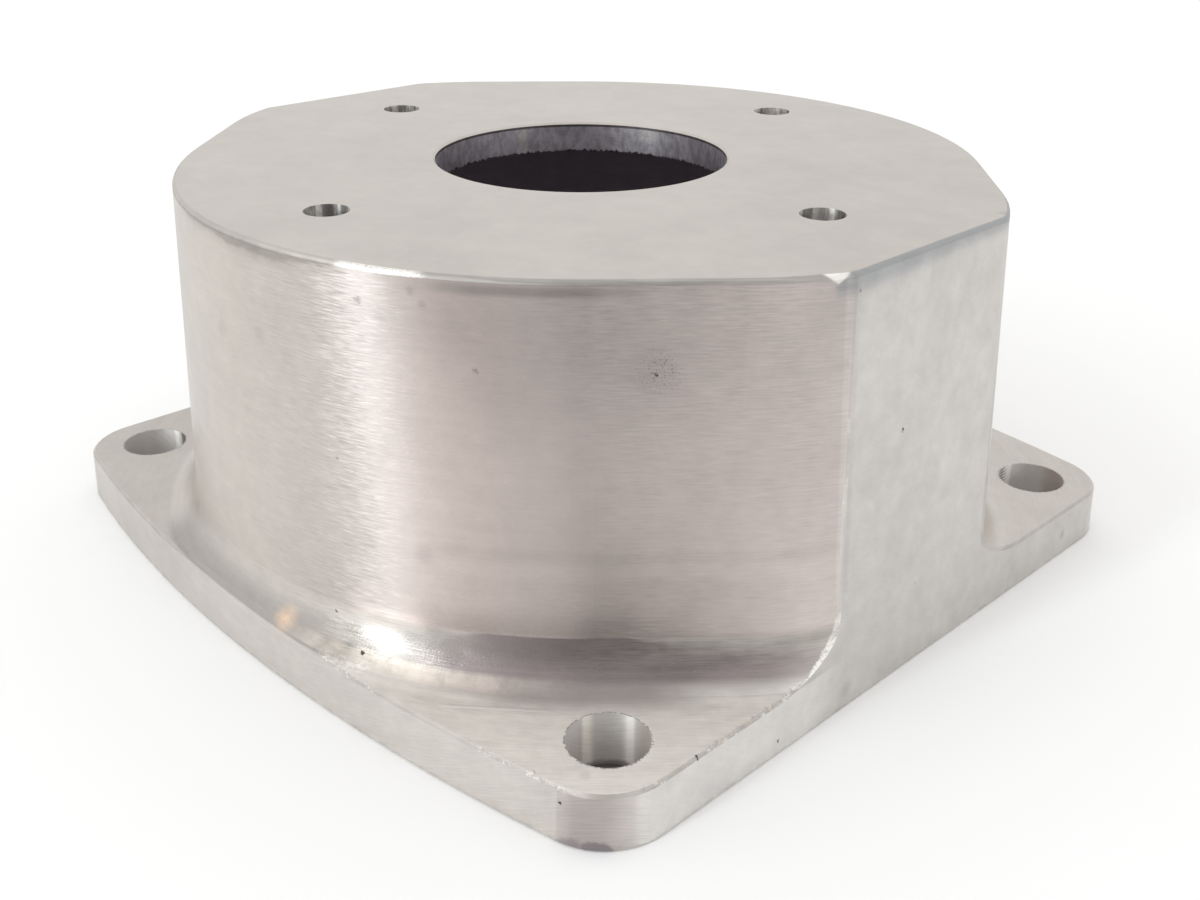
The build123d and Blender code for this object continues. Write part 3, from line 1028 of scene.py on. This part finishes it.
def studio(world):
    """An even white surround; polished metal also sees the unlit room behind the camera."""
    world.use_nodes = True
    g = Graph(world.node_tree)
    place = g.add("ShaderNodeTexCoord").outputs["Generated"]
    room = direction(CAMERA_HEADING + ROOM_AZIMUTH, ROOM_ELEVATION)
    offset = g.vectors("SUBTRACT", place, room)
    squeezed = g.vectors("MULTIPLY", offset, (1.0, 1.0, ROOM_HEIGHT_SQUEEZE))
    away = g.add("ShaderNodeVectorMath", operation="LENGTH")
    g.feed(away.inputs[0], squeezed)
    seen = g.tint(g.step(away.outputs["Value"], ROOM_CORE, ROOM_REACH), ROOM_TONE, SURROUND)
    path = g.add("ShaderNodeLightPath")
    tone = g.tint(path.outputs["Is Glossy Ray"], FILL, seen)
    tone = g.tint(path.outputs["Is Camera Ray"], tone, BACKGROUND)
    light = g.add("ShaderNodeBackground")
    g.feed(light.inputs["Strength"], 1.0)
    g.feed(light.inputs["Color"], tone)
    output = g.add("ShaderNodeOutputWorld")
    g.feed(output.inputs["Surface"], light.outputs[0])


def add_window():
    """A soft area lamp that looks at the middle of the housing, out of the camera's sight."""
    data = bpy.data.lights.new("window", "AREA")
    data.shape = "RECTANGLE"
    data.size, data.size_y = WINDOW_WIDTH, WINDOW_HEIGHT
    data.energy = WINDOW_WATTS
    data.color = WINDOW_COLOUR
    lamp = bpy.data.objects.new("window", data)
    back = direction(CAMERA_HEADING + WINDOW_AZIMUTH, WINDOW_ELEVATION)
    lamp.location = Vector(LAMP_AIM) + back * WINDOW_DISTANCE
    lamp.rotation_mode = "QUATERNION"
    lamp.rotation_quaternion = back.to_track_quat("Z", "Y")
    lamp.visible_camera = False
    bpy.context.scene.collection.objects.link(lamp)


def add_floor():
    """A wide paper floor in the plane of the mounting face."""
    half = FLOOR_SIDE / 2
    mesh = bpy.data.meshes.new("floor")
    corners = [(-half, -half, 0), (half, -half, 0), (half, half, 0), (-half, half, 0)]
    mesh.from_pydata(corners, [], [(0, 1, 2, 3)])
    floor_paper = bpy.data.materials.new("floor_paper")
    paper(floor_paper)
    mesh.materials.append(floor_paper)
    floor = bpy.data.objects.new("floor", mesh)
    bpy.context.scene.collection.objects.link(floor)


def add_camera():
    """The camera that took the photograph."""
    heading, pitch, roll = radians(CAMERA_HEADING), radians(CAMERA_PITCH), radians(CAMERA_ROLL)
    forward = Vector((cos(heading) * cos(pitch), sin(heading) * cos(pitch), -sin(pitch)))
    level_right = Vector((sin(heading), -cos(heading), 0))
    level_up = level_right.cross(forward)
    right = cos(roll) * level_right + sin(roll) * level_up
    up = -sin(roll) * level_right + cos(roll) * level_up
    data = bpy.data.cameras.new("camera")
    data.sensor_width = SENSOR_WIDTH
    data.lens = LENS
    data.clip_start = CAMERA_NEAREST
    camera = bpy.data.objects.new("camera", data)
    turned = Matrix((right, up, -forward)).transposed().to_4x4()
    camera.matrix_world = Matrix.Translation(CAMERA_PLACE) @ turned
    bpy.context.scene.collection.objects.link(camera)
    bpy.context.scene.camera = camera


aluminium(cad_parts["bell_housing"].material_slots[0].material)
add_floor()
bpy.context.scene.world = bpy.data.worlds.new("studio")
studio(bpy.context.scene.world)
add_window()
add_camera()
bpy.context.scene.view_settings.view_transform = "Standard"
